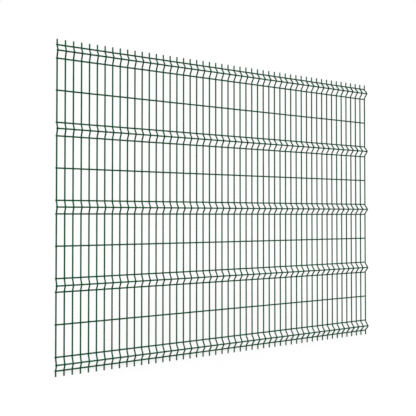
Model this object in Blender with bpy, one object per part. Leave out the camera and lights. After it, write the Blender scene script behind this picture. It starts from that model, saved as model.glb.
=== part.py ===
"""Welded mesh fence panel with five stiffening folds.

Upright wires stand side by side along X. Each is folded into a V at five heights, with the ridges of the
folds pointing to -Y, and its cut tips reach past the top and bottom cross wires. Cross wires run the length
of the panel along X and are welded across the backs (+Y) of the uprights: three at each fold, and one half
way up each flat field between two folds.

Metres, +Z up. The origin is at the middle of the foot, on the cut lower tip of the middle upright wire.
Wires are four-sided bars whose corners lie on the surface of the round wire. Their corners point along the
panel, across it and up, so two crossing wires meet corner to corner, pressed into each other by the weld.
The lattice is built as strips side by side, each one solid.
"""
import bpy
import numpy as np

# Wires
WIRE_DIAMETER = 0.010
WELD_DEPTH = 0.0005

# Panel length, between the centres of the two end uprights
PANEL_LENGTH = 2.500

# Upright wires: their spacing, which is fitted to a whole number of cells, and their bare tips
UPRIGHT_SPACING = 0.050
TIP_LENGTH = 0.032

# Folds: the height between a fold's two outer bends, how far its ridge stands out, and how far beyond
# each outer bend a cross wire is welded
FOLD_COUNT = 5
FOLD_HEIGHT = 0.070
FOLD_DEPTH = 0.028
BEND_TO_WIRE = 0.007

# Flat fields between the folds
FIELD_CELLS = 2
FIELD_CELL_HEIGHT = 0.200

# Cross wires: how far their cut ends reach past the side of the end upright wire
CROSS_WIRE_END = 0.001

# Strips
STRIP_NAMES = ("left_mesh", "middle_mesh", "right_mesh")
STRIP_GAP = 0.0003

WIRE_RADIUS = WIRE_DIAMETER / 2
CELL_COUNT = round(PANEL_LENGTH / UPRIGHT_SPACING)
CELL_LENGTH = PANEL_LENGTH / CELL_COUNT
UPRIGHT_COUNT = CELL_COUNT + 1
RIDGE_TO_BEND = FOLD_HEIGHT / 2
RIDGE_TO_WIRE = RIDGE_TO_BEND + BEND_TO_WIRE
FIELD_HEIGHT = FIELD_CELLS * FIELD_CELL_HEIGHT
FOLD_PITCH = 2 * RIDGE_TO_WIRE + FIELD_HEIGHT


def clear_scene():
    """Remove whatever the scene already holds."""
    for obj in list(bpy.data.objects):
        bpy.data.objects.remove(obj, do_unlink=True)


def green_coat():
    """Moss green plastic coat, satin, over galvanised steel wire."""
    material = bpy.data.materials.new("green_coat")
    material.use_nodes = True
    shader = material.node_tree.nodes["Principled BSDF"]
    shader.inputs["Base Color"].default_value = (0.006, 0.060, 0.030, 1.0)
    shader.inputs["Roughness"].default_value = 0.42
    shader.inputs["Metallic"].default_value = 0.0
    return material


def fold_heights():
    """Height of the ridge of each fold, from the lowest fold up."""
    lowest = TIP_LENGTH + RIDGE_TO_WIRE
    return [lowest + number * FOLD_PITCH for number in range(FOLD_COUNT)]


def upright_path():
    """Centre line of an upright wire as rows of (y, z), from its lower tip to its upper tip."""
    ridges = fold_heights()
    points = [(0.0, 0.0)]
    for ridge in ridges:
        points.append((0.0, ridge - RIDGE_TO_BEND))
        points.append((-FOLD_DEPTH, ridge))
        points.append((0.0, ridge + RIDGE_TO_BEND))
    points.append((0.0, ridges[-1] + RIDGE_TO_WIRE + TIP_LENGTH))
    return np.array(points)


def back_reach(path):
    """For each point of the path, the step from it to the back corner of a bar mitred there.

    The corner is where the back edges of the two straight runs meet, so the step is the sum of the runs'
    unit normals divided by one plus their dot product, times the radius.
    """
    runs = np.diff(path, axis=0)
    runs /= np.linalg.norm(runs, axis=1)[:, None]
    normals = np.column_stack([runs[:, 1], -runs[:, 0]])
    before = np.vstack([normals[:1], normals])
    after = np.vstack([normals, normals[-1:]])
    dots = np.sum(before * after, axis=1)
    return WIRE_RADIUS * (before + after) / (1 + dots)[:, None]


def bar(rings):
    """Vertices and faces of a closed four-sided bar through rings of four corners each."""
    count = len(rings)
    faces = [tuple(reversed(range(4)))]
    for ring in range(count - 1):
        for corner in range(4):
            following = (corner + 1) % 4
            faces.append((4 * ring + corner, 4 * ring + following,
                          4 * ring + 4 + following, 4 * ring + 4 + corner))
    last = 4 * (count - 1)
    faces.append(tuple(last + corner for corner in range(4)))
    return rings.reshape(-1, 3), faces


def upright_wire(x):
    """A folded upright wire at x, corners in the order right, back, left, front."""
    path = upright_path()
    reach = back_reach(path)
    rings = np.zeros((len(path), 4, 3))
    rings[:, :, 0] = x
    rings[:, :, 1:] = path[:, None, :]
    rings[:, 0, 0] += WIRE_RADIUS
    rings[:, 1, 1:] += reach
    rings[:, 2, 0] -= WIRE_RADIUS
    rings[:, 3, 1:] -= reach
    return bar(rings)


def cross_wire(start, end, y, z):
    """A straight cross wire from x = start to x = end, corners in the order back, down, front, up."""
    around = np.array([(1.0, 0.0), (0.0, -1.0), (-1.0, 0.0), (0.0, 1.0)])
    rings = np.zeros((2, 4, 3))
    rings[0, :, 0] = start
    rings[1, :, 0] = end
    rings[:, :, 1:] = np.array([y, z]) + WIRE_RADIUS * around
    return bar(rings)


def cross_wire_places():
    """Centre (y, z) of every cross wire, from the lowest up.

    A wire behind a straight run lies two radii from it, less the depth of the weld. A ridge wire lies in the
    nook behind the V, whose back edge is further out by the mitre there.
    """
    behind = 2 * WIRE_RADIUS - WELD_DEPTH
    path = upright_path()
    on_ridge = path[:, 0].argmin()
    behind_ridge = back_reach(path)[on_ridge, 0] + WIRE_RADIUS - WELD_DEPTH
    places = []
    for number, ridge in enumerate(fold_heights()):
        places.append((behind, ridge - RIDGE_TO_WIRE))
        places.append((behind_ridge - FOLD_DEPTH, ridge))
        places.append((behind, ridge + RIDGE_TO_WIRE))
        if number < FOLD_COUNT - 1:
            for cell in range(1, FIELD_CELLS):
                places.append((behind, ridge + RIDGE_TO_WIRE + cell * FIELD_CELL_HEIGHT))
    return places


def bars_object(name, bars):
    """One mesh object that holds a list of bars."""
    vertices = []
    faces = []
    for bar_vertices, bar_faces in bars:
        first = len(vertices)
        vertices.extend(bar_vertices.tolist())
        faces.extend([tuple(first + index for index in face) for face in bar_faces])
    mesh = bpy.data.meshes.new(name)
    mesh.from_pydata(vertices, [], faces)
    mesh.update()
    obj = bpy.data.objects.new(name, mesh)
    bpy.context.scene.collection.objects.link(obj)
    return obj


def upright_places():
    """x of every upright wire, centred on the origin."""
    return [number * CELL_LENGTH - PANEL_LENGTH / 2 for number in range(UPRIGHT_COUNT)]


def mesh_strip(number, material):
    """A strip of the lattice: its share of the upright wires, welded to its lengths of the cross wires."""
    name = STRIP_NAMES[number]
    strips = len(STRIP_NAMES)
    first = round(number * UPRIGHT_COUNT / strips)
    last = round((number + 1) * UPRIGHT_COUNT / strips) - 1
    places = upright_places()[first:last + 1]
    to_next_strip = (CELL_LENGTH - STRIP_GAP) / 2
    to_cut_end = WIRE_RADIUS + CROSS_WIRE_END
    start = places[0] - (to_cut_end if number == 0 else to_next_strip)
    end = places[-1] + (to_cut_end if number == strips - 1 else to_next_strip)

    strip = bars_object(name, [upright_wire(x) for x in places])
    strip.data.materials.append(material)
    cross_wires = [cross_wire(start, end, y, z) for y, z in cross_wire_places()]
    helper = bars_object(name + "_cross_wires", cross_wires)
    helper.hide_render = True
    helper.display_type = "WIRE"

    weld = strip.modifiers.new("weld", "BOOLEAN")
    weld.operation = "UNION"
    weld.solver = "EXACT"
    weld.object = helper
    return strip


def build_panel():
    """The whole panel, as strips side by side."""
    clear_scene()
    material = green_coat()
    for number in range(len(STRIP_NAMES)):
        mesh_strip(number, material)


build_panel()
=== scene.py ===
"""Looks of the welded mesh fence panel.

Round coated wires, bent round the press at every fold and cut a little off square, take the place of the
frame's four-sided bars, with the coat's fillet round every weld. Then come the coat, the studio and the
camera. Metres, +Z up.
"""
import math

import bpy
import numpy as np
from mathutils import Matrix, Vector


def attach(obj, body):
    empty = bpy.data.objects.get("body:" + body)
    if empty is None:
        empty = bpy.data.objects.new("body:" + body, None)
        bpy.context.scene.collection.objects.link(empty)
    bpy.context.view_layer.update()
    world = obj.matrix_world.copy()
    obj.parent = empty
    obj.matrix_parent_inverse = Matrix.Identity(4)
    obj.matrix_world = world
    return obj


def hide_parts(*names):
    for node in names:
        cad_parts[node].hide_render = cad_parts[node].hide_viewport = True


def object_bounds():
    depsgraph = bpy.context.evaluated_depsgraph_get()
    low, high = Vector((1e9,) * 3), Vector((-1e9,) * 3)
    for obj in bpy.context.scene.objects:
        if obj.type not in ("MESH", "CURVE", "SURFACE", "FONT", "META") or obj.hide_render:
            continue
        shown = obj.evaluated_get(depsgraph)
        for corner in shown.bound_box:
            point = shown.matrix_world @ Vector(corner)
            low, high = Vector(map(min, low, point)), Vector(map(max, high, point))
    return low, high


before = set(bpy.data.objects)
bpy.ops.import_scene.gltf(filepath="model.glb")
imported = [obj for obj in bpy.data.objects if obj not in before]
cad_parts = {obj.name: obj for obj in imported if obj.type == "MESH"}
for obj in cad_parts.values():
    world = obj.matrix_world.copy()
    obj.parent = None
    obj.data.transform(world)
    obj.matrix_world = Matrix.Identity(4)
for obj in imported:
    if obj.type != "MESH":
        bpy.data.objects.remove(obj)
cad_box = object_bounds()

# Wires, as in the frame
WIRE_RADIUS = 0.005
WELD_DEPTH = 0.0005
CELL_COUNT = 50
FOLD_COUNT = 5
FIELD_CELL_HEIGHT = 0.200
TIP_LENGTH = 0.032
FOLD_DEPTH = 0.028
RIDGE_TO_BEND = 0.035
BEND_TO_WIRE = 0.007
CROSS_WIRE_END = 0.001
STRIP_NAMES = ("left_mesh", "middle_mesh", "right_mesh")

# Worked out from the frame and the sizes above. BEHIND is how far a cross wire's centre lies behind the
# centre of the upright that it is welded to.
PANEL_BOTTOM = cad_box[0][2]
PANEL_TOP = cad_box[1][2]
PANEL_LENGTH = cad_box[1][0] - cad_box[0][0] - 2 * (WIRE_RADIUS + CROSS_WIRE_END)
CELL_LENGTH = PANEL_LENGTH / CELL_COUNT
RIDGE_TO_WIRE = RIDGE_TO_BEND + BEND_TO_WIRE
FOLD_PITCH = 2 * RIDGE_TO_WIRE + 2 * FIELD_CELL_HEIGHT
BEHIND = 2 * WIRE_RADIUS - WELD_DEPTH

# Finer shapes that the frame leaves out: the bend round the press, the coat's round on the rim of a cut, how
# far off square a cut may lean, and how far a cross wire drifts between two welds
BEND_RADIUS = 0.010
END_ROUND = 0.0013
SHEAR_TILT = math.radians(7)
WIRE_WANDER = 0.00022

# Fillet of a weld: the radii of its feet and its waist, how deep its two ends are sunk in the wires, their
# radius as a share of the foot's, the widest that a foot may be as a share of the wire's radius, and how
# much the size of a whole fillet and of each of its corners varies
WELD_FOOT = 0.0043
WELD_WAIST = 0.0034
WELD_SUNK = 0.0006
WELD_SUNK_SHARE = 0.8
WELD_WIDEST = 0.96
WELD_VARIES = 0.05
WELD_LUMPS = 0.025

# Fineness of the meshes: corners round a wire and round a fillet, rings over the round of a cut, round an
# outer bend and round a ridge, and steps to a cell of a cross wire
WIRE_SIDES = 14
FILLET_SIDES = 12
END_RINGS = 4
BEND_RINGS = 6
RIDGE_RINGS = 11
CELL_STEPS = 4

# Edges that turn by more than this keep a crease: a wire's, so that its cut face stays crisp, and a
# fillet's, which has none
WIRE_CREASE = math.radians(40)
FILLET_CREASE = math.pi

# Coat: its colours where it is thick and thin, its drifts of shade to the metre, and the range of its
# roughness
COAT_LOOK = {
    "Coat": (0.0010, 0.084, 0.031, 1.0),
    "Thin Coat": (0.0014, 0.104, 0.039, 1.0),
    "Drift Scale": 9.0,
    "Smoothest": 0.28,
    "Roughest": 0.42,
}

# Relief of the coat: drawing lines to the metre, round and along the wire, their height as a share of the
# orange peel's, and how deep the whole goes
LINES_TO_THE_METRE = (2200.0, 14.0, 1.0)
LINES_HEIGHT = 0.25
RELIEF_DEPTH = 0.0002

# Camera
CAMERA_PLACE = (-1.7354, -3.1415, 0.9882)
CAMERA_TURN = -0.45168
CAMERA_TILT = 0.01577
LENS = 42.657
SENSOR = 36.0

# Seed of the small random differences
SEED = 51

UPRIGHTS = np.linspace(-PANEL_LENGTH / 2, PANEL_LENGTH / 2, CELL_COUNT + 1)
RIDGES = PANEL_BOTTOM + TIP_LENGTH + RIDGE_TO_WIRE + FOLD_PITCH * np.arange(FOLD_COUNT)


def new_object(name, data):
    """An object in the scene that holds the data."""
    obj = bpy.data.objects.new(name, data)
    bpy.context.scene.collection.objects.link(obj)
    return obj


def mesh_object(name, vertices, quads, ends, uvs, girth, crease):
    """A smooth mesh from whole arrays: quads as rows of four corners, ends as rows of a whole ring.

    uvs holds one (u, v) for each vertex, in metres round and along the wire. A quad whose second corner
    comes before its first closes the turn, so there u runs on by the full girth. Edges that turn by more
    than the angle crease stay sharp.
    """
    mesh = bpy.data.meshes.new(name)
    mesh.from_pydata(vertices.tolist(), [], quads.tolist() + ends.tolist())
    quad_uvs = uvs[quads]
    closing = quads[:, 1] < quads[:, 0]
    quad_uvs[closing, 1:3, 0] += girth
    corner_uvs = np.concatenate([quad_uvs.reshape(-1, 2), uvs[ends].reshape(-1, 2)])
    layer = mesh.uv_layers.new(name="wire_uv")
    layer.data.foreach_set("uv", corner_uvs.astype(np.float32).ravel())
    mesh.shade_smooth()
    mesh.set_sharp_from_angle(angle=crease)
    return new_object(name, mesh)


def tube_faces(count, rings, sides):
    """Quads and end faces of count closed tubes, whose corners run by tube, then ring, then side."""
    tube = np.arange(count)[:, None, None] * rings * sides
    ring = np.arange(rings - 1)[None, :, None] * sides
    side = np.arange(sides)[None, None, :]
    after = (side + 1) % sides
    low = tube + ring
    quads = np.stack([low + side, low + after, low + sides + after, low + sides + side], axis=-1)
    first = tube[:, 0] + side[0, :, ::-1]
    last = tube[:, 0] + (rings - 1) * sides + side[0]
    return quads.reshape(-1, 4), np.concatenate([first, last])


def end_rounding():
    """How far each ring of a cut end lies inside the cut, and how much thinner it is than the wire.

    The coat rounds the rim of the cut in a quarter circle: at angle a from the cut, the ring is
    round * (1 - sin a) inside it and round * (1 - cos a) thinner, with a from 90 degrees down to 0.
    """
    angle = np.linspace(math.pi / 2, 0, END_RINGS)
    return END_ROUND * (1 - np.sin(angle)), END_ROUND * (1 - np.cos(angle))


def ring_radii(rings):
    """The radius at every ring of a wire: its own, and less over the rounded rims of its two cuts."""
    thinner = end_rounding()[1]
    radii = np.full(rings, WIRE_RADIUS)
    radii[:END_RINGS] -= thinner
    radii[-END_RINGS:] -= thinner[::-1]
    return radii


def cut_slopes(rng, count):
    """How the two cuts of each wire lean: a slope across and a slope outward, up to the shear's tilt."""
    steepest = math.tan(SHEAR_TILT)
    return rng.uniform(-steepest, steepest, (count, 2, 2))


def tubes(name, centres, across, outward, slopes):
    """Round wires: each corner is centre + radius * (across * cos(turn) + outward * sin(turn)).

    centres, across and outward are (wire, ring, 3) arrays. slopes is (wire, end, 2): the rings of a cut's
    rounded rim lean along the wire by radius * (slope across * cos(turn) + slope outward * sin(turn)).
    """
    count, rings = centres.shape[:2]
    radii = ring_radii(rings)
    turn = np.linspace(0, 2 * math.pi, WIRE_SIDES, endpoint=False)
    cos, sin = np.cos(turn), np.sin(turn)
    reach = radii[:, None, None] * (across[:, :, None] * cos[:, None] + outward[:, :, None] * sin[:, None])
    slope = slopes[:, :, :1] * cos + slopes[:, :, 1:] * sin
    lean = np.zeros((count, rings, WIRE_SIDES))
    lean[:, :END_RINGS] = slope[:, :1] * radii[:END_RINGS, None]
    lean[:, -END_RINGS:] = slope[:, 1:] * radii[-END_RINGS:, None]
    along = np.cross(across, outward)
    corners = centres[:, :, None] + reach + along[:, :, None] * lean[..., None]
    steps = np.linalg.norm(np.diff(centres, axis=1), axis=2)
    length = np.concatenate([np.zeros((count, 1)), np.cumsum(steps, axis=1)], axis=1)
    uvs = np.stack(np.broadcast_arrays(turn * WIRE_RADIUS, length[:, :, None]), axis=-1)
    quads, ends = tube_faces(count, rings, WIRE_SIDES)
    return mesh_object(name, corners.reshape(-1, 3), quads, ends, uvs.reshape(-1, 2),
                       2 * math.pi * WIRE_RADIUS, WIRE_CREASE)


def rounded(corners, radius, ring_counts):
    """A bent line in a plane: each inner corner becomes an arc of the given radius and number of rings.

    The arc starts radius * tan(half the turn) before the corner, and its points swing about a centre set
    square to the line there. Returns the points and their unit tangents.
    """
    points = [corners[0]]
    tangents = [(corners[1] - corners[0]) / np.linalg.norm(corners[1] - corners[0])]
    for before, corner, after, rings in zip(corners[:-2], corners[1:-1], corners[2:], ring_counts):
        run_in = (corner - before) / np.linalg.norm(corner - before)
        run_out = (after - corner) / np.linalg.norm(after - corner)
        side = run_in[0] * run_out[1] - run_in[1] * run_out[0]
        turn = math.copysign(math.acos(np.clip(run_in @ run_out, -1, 1)), side)
        square = math.copysign(1.0, side) * np.array([-run_in[1], run_in[0]])
        start = corner - run_in * radius * math.tan(abs(turn) / 2)
        centre = start + square * radius
        swing = np.linspace(0, turn, rings)
        spin = np.array([[np.cos(swing), -np.sin(swing)], [np.sin(swing), np.cos(swing)]])
        points.extend(centre + np.einsum("ijk,j->ki", spin, start - centre))
        tangents.extend(np.einsum("ijk,j->ki", spin, run_in))
    points.append(corners[-1])
    tangents.append(tangents[-1])
    return np.array(points), np.array(tangents)


def upright_line():
    """Centre line (y, z) of an upright and its tangents, bent round the press at every fold.

    Rounding a ridge draws it back by radius * (1 / cos(half the turn) - 1), so its corner is set that much
    further out. That changes the turn, so the two are worked out a dozen times over, until they agree.
    """
    reach = FOLD_DEPTH
    for _ in range(12):
        half_turn = math.atan2(reach, RIDGE_TO_BEND)
        reach = FOLD_DEPTH + BEND_RADIUS * (1 / math.cos(half_turn) - 1)
    corners = [(0.0, PANEL_BOTTOM)]
    for ridge in RIDGES:
        corners += [(0.0, ridge - RIDGE_TO_BEND), (-reach, ridge), (0.0, ridge + RIDGE_TO_BEND)]
    corners.append((0.0, PANEL_TOP))
    return rounded(np.array(corners), BEND_RADIUS, [BEND_RINGS, RIDGE_RINGS, BEND_RINGS] * FOLD_COUNT)


def with_cut_ends(points, tangents):
    """A line and its tangents, with each end point opened out into the rings of a rounded cut."""
    inside = end_rounding()[0]
    first = points[0] + tangents[0] * inside[:, None]
    last = points[-1] - tangents[-1] * inside[::-1, None]
    copies = np.ones(len(points), int)
    copies[[0, -1]] = END_RINGS
    return np.concatenate([first, points[1:-1], last]), np.repeat(tangents, copies, axis=0)


def upright_wires(rng):
    """All upright wires: one bent line, set at every place along the panel."""
    line, tangents = with_cut_ends(*upright_line())
    count = len(UPRIGHTS)
    centres = np.zeros((count, len(line), 3))
    centres[:, :, 0] = UPRIGHTS[:, None]
    centres[:, :, 1:] = line
    across = np.broadcast_to((1.0, 0.0, 0.0), centres.shape)
    outward = np.zeros(centres.shape)
    outward[:, :, 1] = tangents[:, 1]
    outward[:, :, 2] = -tangents[:, 0]
    return tubes("upright_wires", centres, across, outward, cut_slopes(rng, count))


def cross_wire_places():
    """(y, z) of every cross wire, from the lowest up: below, on and above each ridge, and mid-field.

    A ridge wire lies in the nook of the V, and the bend runs round it.
    """
    places = []
    for number, ridge in enumerate(RIDGES):
        places.append((BEHIND, ridge - RIDGE_TO_WIRE))
        places.append((BEHIND - FOLD_DEPTH, ridge))
        places.append((BEHIND, ridge + RIDGE_TO_WIRE))
        if number < FOLD_COUNT - 1:
            places.append((BEHIND, ridge + RIDGE_TO_WIRE + FIELD_CELL_HEIGHT))
    return np.array(places)


def cross_wires(rng, places):
    """All cross wires: straight along X, drifting by a hair between one weld and the next.

    The drift is zero at each weld and follows a half sine between two, with its own height in each cell.
    """
    end = PANEL_LENGTH / 2 + WIRE_RADIUS + CROSS_WIRE_END
    inside = end_rounding()[0]
    part = np.linspace(0, 1, CELL_STEPS, endpoint=False)
    cells = (UPRIGHTS[:-1, None] + part * CELL_LENGTH).ravel()
    run = np.concatenate([inside - end, cells, UPRIGHTS[-1:], end - inside[::-1]])
    count = len(places)
    centres = np.zeros((count, len(run), 3))
    centres[:, :, 0] = run
    centres[:, :, 1:] = places[:, None]
    drift = rng.normal(0, WIRE_WANDER, (count, CELL_COUNT, 1, 2)) * np.sin(math.pi * part)[:, None]
    centres[:, END_RINGS:-END_RINGS - 1, 1:] += drift.reshape(count, -1, 2)
    across = np.broadcast_to((0.0, 1.0, 0.0), centres.shape)
    outward = np.broadcast_to((0.0, 0.0, 1.0), centres.shape)
    return tubes("cross_wires", centres, across, outward, cut_slopes(rng, count))


def upright_back(x, z, on_ridge):
    """How far behind its centre line the back of an upright lies, at x across it and z along it.

    Where it is straight that is sqrt(radius^2 - x^2). On a ridge it is a ring's inner side, so with b the
    bend radius it is b - sqrt((b - sqrt(radius^2 - x^2))^2 - z^2).
    """
    straight = np.sqrt(WIRE_RADIUS ** 2 - x ** 2)
    bent = BEND_RADIUS - np.sqrt((BEND_RADIUS - straight) ** 2 - z ** 2)
    return np.where(on_ridge, bent, straight)


def weld_beads(rng, places):
    """The coat's fillet in the corner round every weld, closed inside the two wires.

    Each is a ring about the line between the wires' centres. Its feet lie on the surfaces of the two wires,
    a foot's radius from that line, and between them it draws in to the waist. Its two ends are sunk in the
    wires, where they don't show. Each corner stands a little further out or in, by its own amount. A cross
    wire that lies in front of the uprights' straight runs is a ridge wire.
    """
    turn = np.linspace(0, 2 * math.pi, FILLET_SIDES, endpoint=False)
    count = len(places) * len(UPRIGHTS)
    lumps = rng.normal(1.0, WELD_VARIES, (count, 1)) * rng.normal(1.0, WELD_LUMPS, (count, FILLET_SIDES))
    foot = np.minimum(WELD_FOOT * lumps, WELD_WIDEST * WIRE_RADIUS)
    waist = WELD_WAIST * lumps
    x, z = foot * np.cos(turn), foot * np.sin(turn)
    on_ridge = np.tile(places[:, 0] < 0, len(UPRIGHTS))[:, None]
    cross_front = BEHIND - np.sqrt(WIRE_RADIUS ** 2 - z ** 2)
    near, far = np.sort([upright_back(x, z, on_ridge), cross_front], axis=0)
    sunk_radius = WELD_SUNK_SHARE * foot
    radius = np.stack([sunk_radius, foot, waist, foot, sunk_radius], axis=1)
    behind = np.stack([near - WELD_SUNK, near, (near + far) / 2, far, far + WELD_SUNK], axis=1)
    joint = np.zeros((len(UPRIGHTS), len(places), 3))
    joint[:, :, 0] = UPRIGHTS[:, None]
    joint[:, :, 1] = places[:, 0] - BEHIND
    joint[:, :, 2] = places[:, 1]
    offset = np.stack([radius * np.cos(turn), behind, -radius * np.sin(turn)], axis=-1)
    corners = joint.reshape(-1, 1, 1, 3) + offset
    uvs = np.stack([np.broadcast_to(turn * WELD_FOOT, behind.shape), behind], axis=-1)
    quads, ends = tube_faces(count, radius.shape[1], FILLET_SIDES)
    return mesh_object("weld_beads", corners.reshape(-1, 3), quads, ends, uvs.reshape(-1, 2),
                       2 * math.pi * WELD_FOOT, FILLET_CREASE)


def set_inputs(tree, node, inputs):
    """Set a node's inputs: the output of another node is linked, and anything else is a plain value."""
    for name, value in inputs.items():
        if isinstance(value, bpy.types.NodeSocket):
            tree.links.new(value, node.inputs[name])
        else:
            node.inputs[name].default_value = value


def add_node(tree, kind, inputs, **settings):
    """A new node of a tree, with its settings and then its inputs."""
    node = tree.nodes.new(kind)
    for name, value in settings.items():
        setattr(node, name, value)
    set_inputs(tree, node, inputs)
    return node


def coat_group():
    """Node group of the plastic coat: slow drift of shade, fine orange peel and drawing lines."""
    group = bpy.data.node_groups.new("plastic_coat", "ShaderNodeTree")
    for name, direction, kind in (
        ("Coat", "INPUT", "NodeSocketColor"),
        ("Thin Coat", "INPUT", "NodeSocketColor"),
        ("Drift Scale", "INPUT", "NodeSocketFloat"),
        ("Peel Scale", "INPUT", "NodeSocketFloat"),
        ("Smoothest", "INPUT", "NodeSocketFloat"),
        ("Roughest", "INPUT", "NodeSocketFloat"),
        ("Color", "OUTPUT", "NodeSocketColor"),
        ("Roughness", "OUTPUT", "NodeSocketFloat"),
        ("Height", "OUTPUT", "NodeSocketFloat"),
    ):
        group.interface.new_socket(name=name, in_out=direction, socket_type=kind)
    given = add_node(group, "NodeGroupInput", {}).outputs
    place = add_node(group, "ShaderNodeTexCoord", {}).outputs["Object"]
    drift = add_node(group, "ShaderNodeTexNoise", {
        "Vector": place, "Scale": given["Drift Scale"], "Detail": 3.0, "Roughness": 0.55})
    peel = add_node(group, "ShaderNodeTexNoise", {
        "Vector": place, "Scale": given["Peel Scale"], "Detail": 2.0, "Roughness": 0.45})
    wire_map = add_node(group, "ShaderNodeUVMap", {}, uv_map="wire_uv")
    stretch = add_node(group, "ShaderNodeMapping", {
        "Vector": wire_map.outputs["UV"], "Scale": LINES_TO_THE_METRE})
    lines = add_node(group, "ShaderNodeTexNoise", {
        "Vector": stretch.outputs["Vector"], "Scale": 1.0, "Detail": 1.0})

    shade = add_node(group, "ShaderNodeMapRange", {
        "Value": drift.outputs["Fac"], "From Min": 0.35, "From Max": 0.70}, interpolation_type="SMOOTHSTEP")
    tint = add_node(group, "ShaderNodeMix", {
        "Factor": shade.outputs["Result"], "A": given["Coat"], "B": given["Thin Coat"]}, data_type="RGBA")
    gloss = add_node(group, "ShaderNodeMapRange", {
        "Value": peel.outputs["Fac"], "From Min": 0.3, "From Max": 0.7,
        "To Min": given["Smoothest"], "To Max": given["Roughest"]})
    relief = add_node(group, "ShaderNodeMath", {
        0: lines.outputs["Fac"], 1: LINES_HEIGHT, 2: peel.outputs["Fac"]}, operation="MULTIPLY_ADD")
    add_node(group, "NodeGroupOutput", {
        "Color": tint.outputs["Result"], "Roughness": gloss.outputs["Result"],
        "Height": relief.outputs["Value"]})
    return group


def coat_material(name, group, peel_scale, bump):
    """Moss green plastic coat over galvanised wire: satin, dark, with little glare."""
    material = bpy.data.materials.new(name)
    material.use_nodes = True
    tree = material.node_tree
    texture = add_node(tree, "ShaderNodeGroup", {}, node_tree=group)
    set_inputs(tree, texture, COAT_LOOK)
    set_inputs(tree, texture, {"Peel Scale": peel_scale})
    relief = add_node(tree, "ShaderNodeBump", {
        "Height": texture.outputs["Height"], "Strength": bump, "Distance": RELIEF_DEPTH})
    set_inputs(tree, tree.nodes["Principled BSDF"], {
        "Base Color": texture.outputs["Color"], "Roughness": texture.outputs["Roughness"],
        "Normal": relief.outputs["Normal"], "Metallic": 0.0, "IOR": 1.5, "Specular IOR Level": 0.06})
    return material


def dress(piece, material, *nodes):
    """Give a piece its coat and tie it to the frame."""
    piece.data.materials.append(material)
    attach(piece, "root")
    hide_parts(*nodes)


def direct_rays(tree, *kinds):
    """1 for a ray of any of these kinds and 0 for the rest: the largest of the Light Path node's outputs."""
    path = add_node(tree, "ShaderNodeLightPath", {}).outputs
    largest = path[kinds[0]]
    for kind in kinds[1:]:
        either = add_node(tree, "ShaderNodeMath", {0: largest, 1: path[kind]}, operation="MAXIMUM")
        largest = either.outputs["Value"]
    return largest


def studio_floor(size, grey, lift, gap):
    """A plain pale floor, lifted to white where the camera or a gloss sees it, which keeps the shadow."""
    corners = [(-size, -size, 0), (size, -size, 0), (size, size, 0), (-size, size, 0)]
    mesh = bpy.data.meshes.new("studio_floor")
    mesh.from_pydata(corners, [], [(0, 1, 2, 3)])
    floor = new_object("studio_floor", mesh)
    floor.location.z = PANEL_BOTTOM - gap
    material = bpy.data.materials.new("studio_floor")
    material.use_nodes = True
    tree = material.node_tree
    seen = direct_rays(tree, "Is Camera Ray", "Is Glossy Ray")
    glow = add_node(tree, "ShaderNodeMath", {0: seen, 1: lift}, operation="MULTIPLY")
    set_inputs(tree, tree.nodes["Principled BSDF"], {
        "Base Color": (grey, grey, grey, 1.0), "Roughness": 0.9, "Specular IOR Level": 0.0,
        "Emission Color": (1.0, 1.0, 1.0, 1.0), "Emission Strength": glow.outputs["Value"]})
    mesh.materials.append(material)


def studio_world(fill):
    """A white backdrop for what the camera, gloss and glass see, and a softer fill for the rest."""
    world = bpy.data.worlds.new("studio")
    bpy.context.scene.world = world
    world.use_nodes = True
    tree = world.node_tree
    seen = direct_rays(tree, "Is Camera Ray", "Is Glossy Ray", "Is Transmission Ray")
    strength = add_node(tree, "ShaderNodeMapRange", {"Value": seen, "To Min": fill, "To Max": 1.0})
    set_inputs(tree, tree.nodes["Background"], {
        "Color": (1.0, 1.0, 1.0, 1.0), "Strength": strength.outputs["Result"]})


def sun_light(name, turn, height, spread, strength):
    """A wide soft lamp so far off that it lights the floor evenly.

    Its turn from -Y, its height above level and its spread are in degrees.
    """
    lamp = bpy.data.lights.new(name, "SUN")
    lamp.angle = math.radians(spread)
    lamp.energy = strength
    sun = new_object(name, lamp)
    sun.rotation_euler = (math.pi / 2 - math.radians(height), 0.0, math.radians(turn))


def camera():
    """The photograph's view: from the left, a little under mid height, almost level."""
    data = bpy.data.cameras.new("camera")
    data.sensor_width = SENSOR
    data.lens = LENS
    eye = new_object("camera", data)
    eye.location = CAMERA_PLACE
    eye.rotation_euler = (math.pi / 2 + CAMERA_TILT, 0.0, CAMERA_TURN)
    bpy.context.scene.camera = eye


def build():
    """The dressed panel in its studio."""
    rng = np.random.default_rng(SEED)
    group = coat_group()
    wire_coat = coat_material("wire_coat", group, peel_scale=650.0, bump=0.25)
    weld_coat = coat_material("weld_coat", group, peel_scale=420.0, bump=0.45)
    places = cross_wire_places()
    dress(upright_wires(rng), wire_coat, *STRIP_NAMES)
    dress(cross_wires(rng, places), wire_coat, *STRIP_NAMES)
    dress(weld_beads(rng, places), weld_coat, *STRIP_NAMES)
    studio_floor(size=30.0, grey=0.3, lift=0.79, gap=0.0005)
    studio_world(fill=0.4)
    sun_light("key", turn=-25.0, height=32.0, spread=16.0, strength=2.1)
    camera()
    bpy.context.scene.view_settings.view_transform = "Standard"


build()
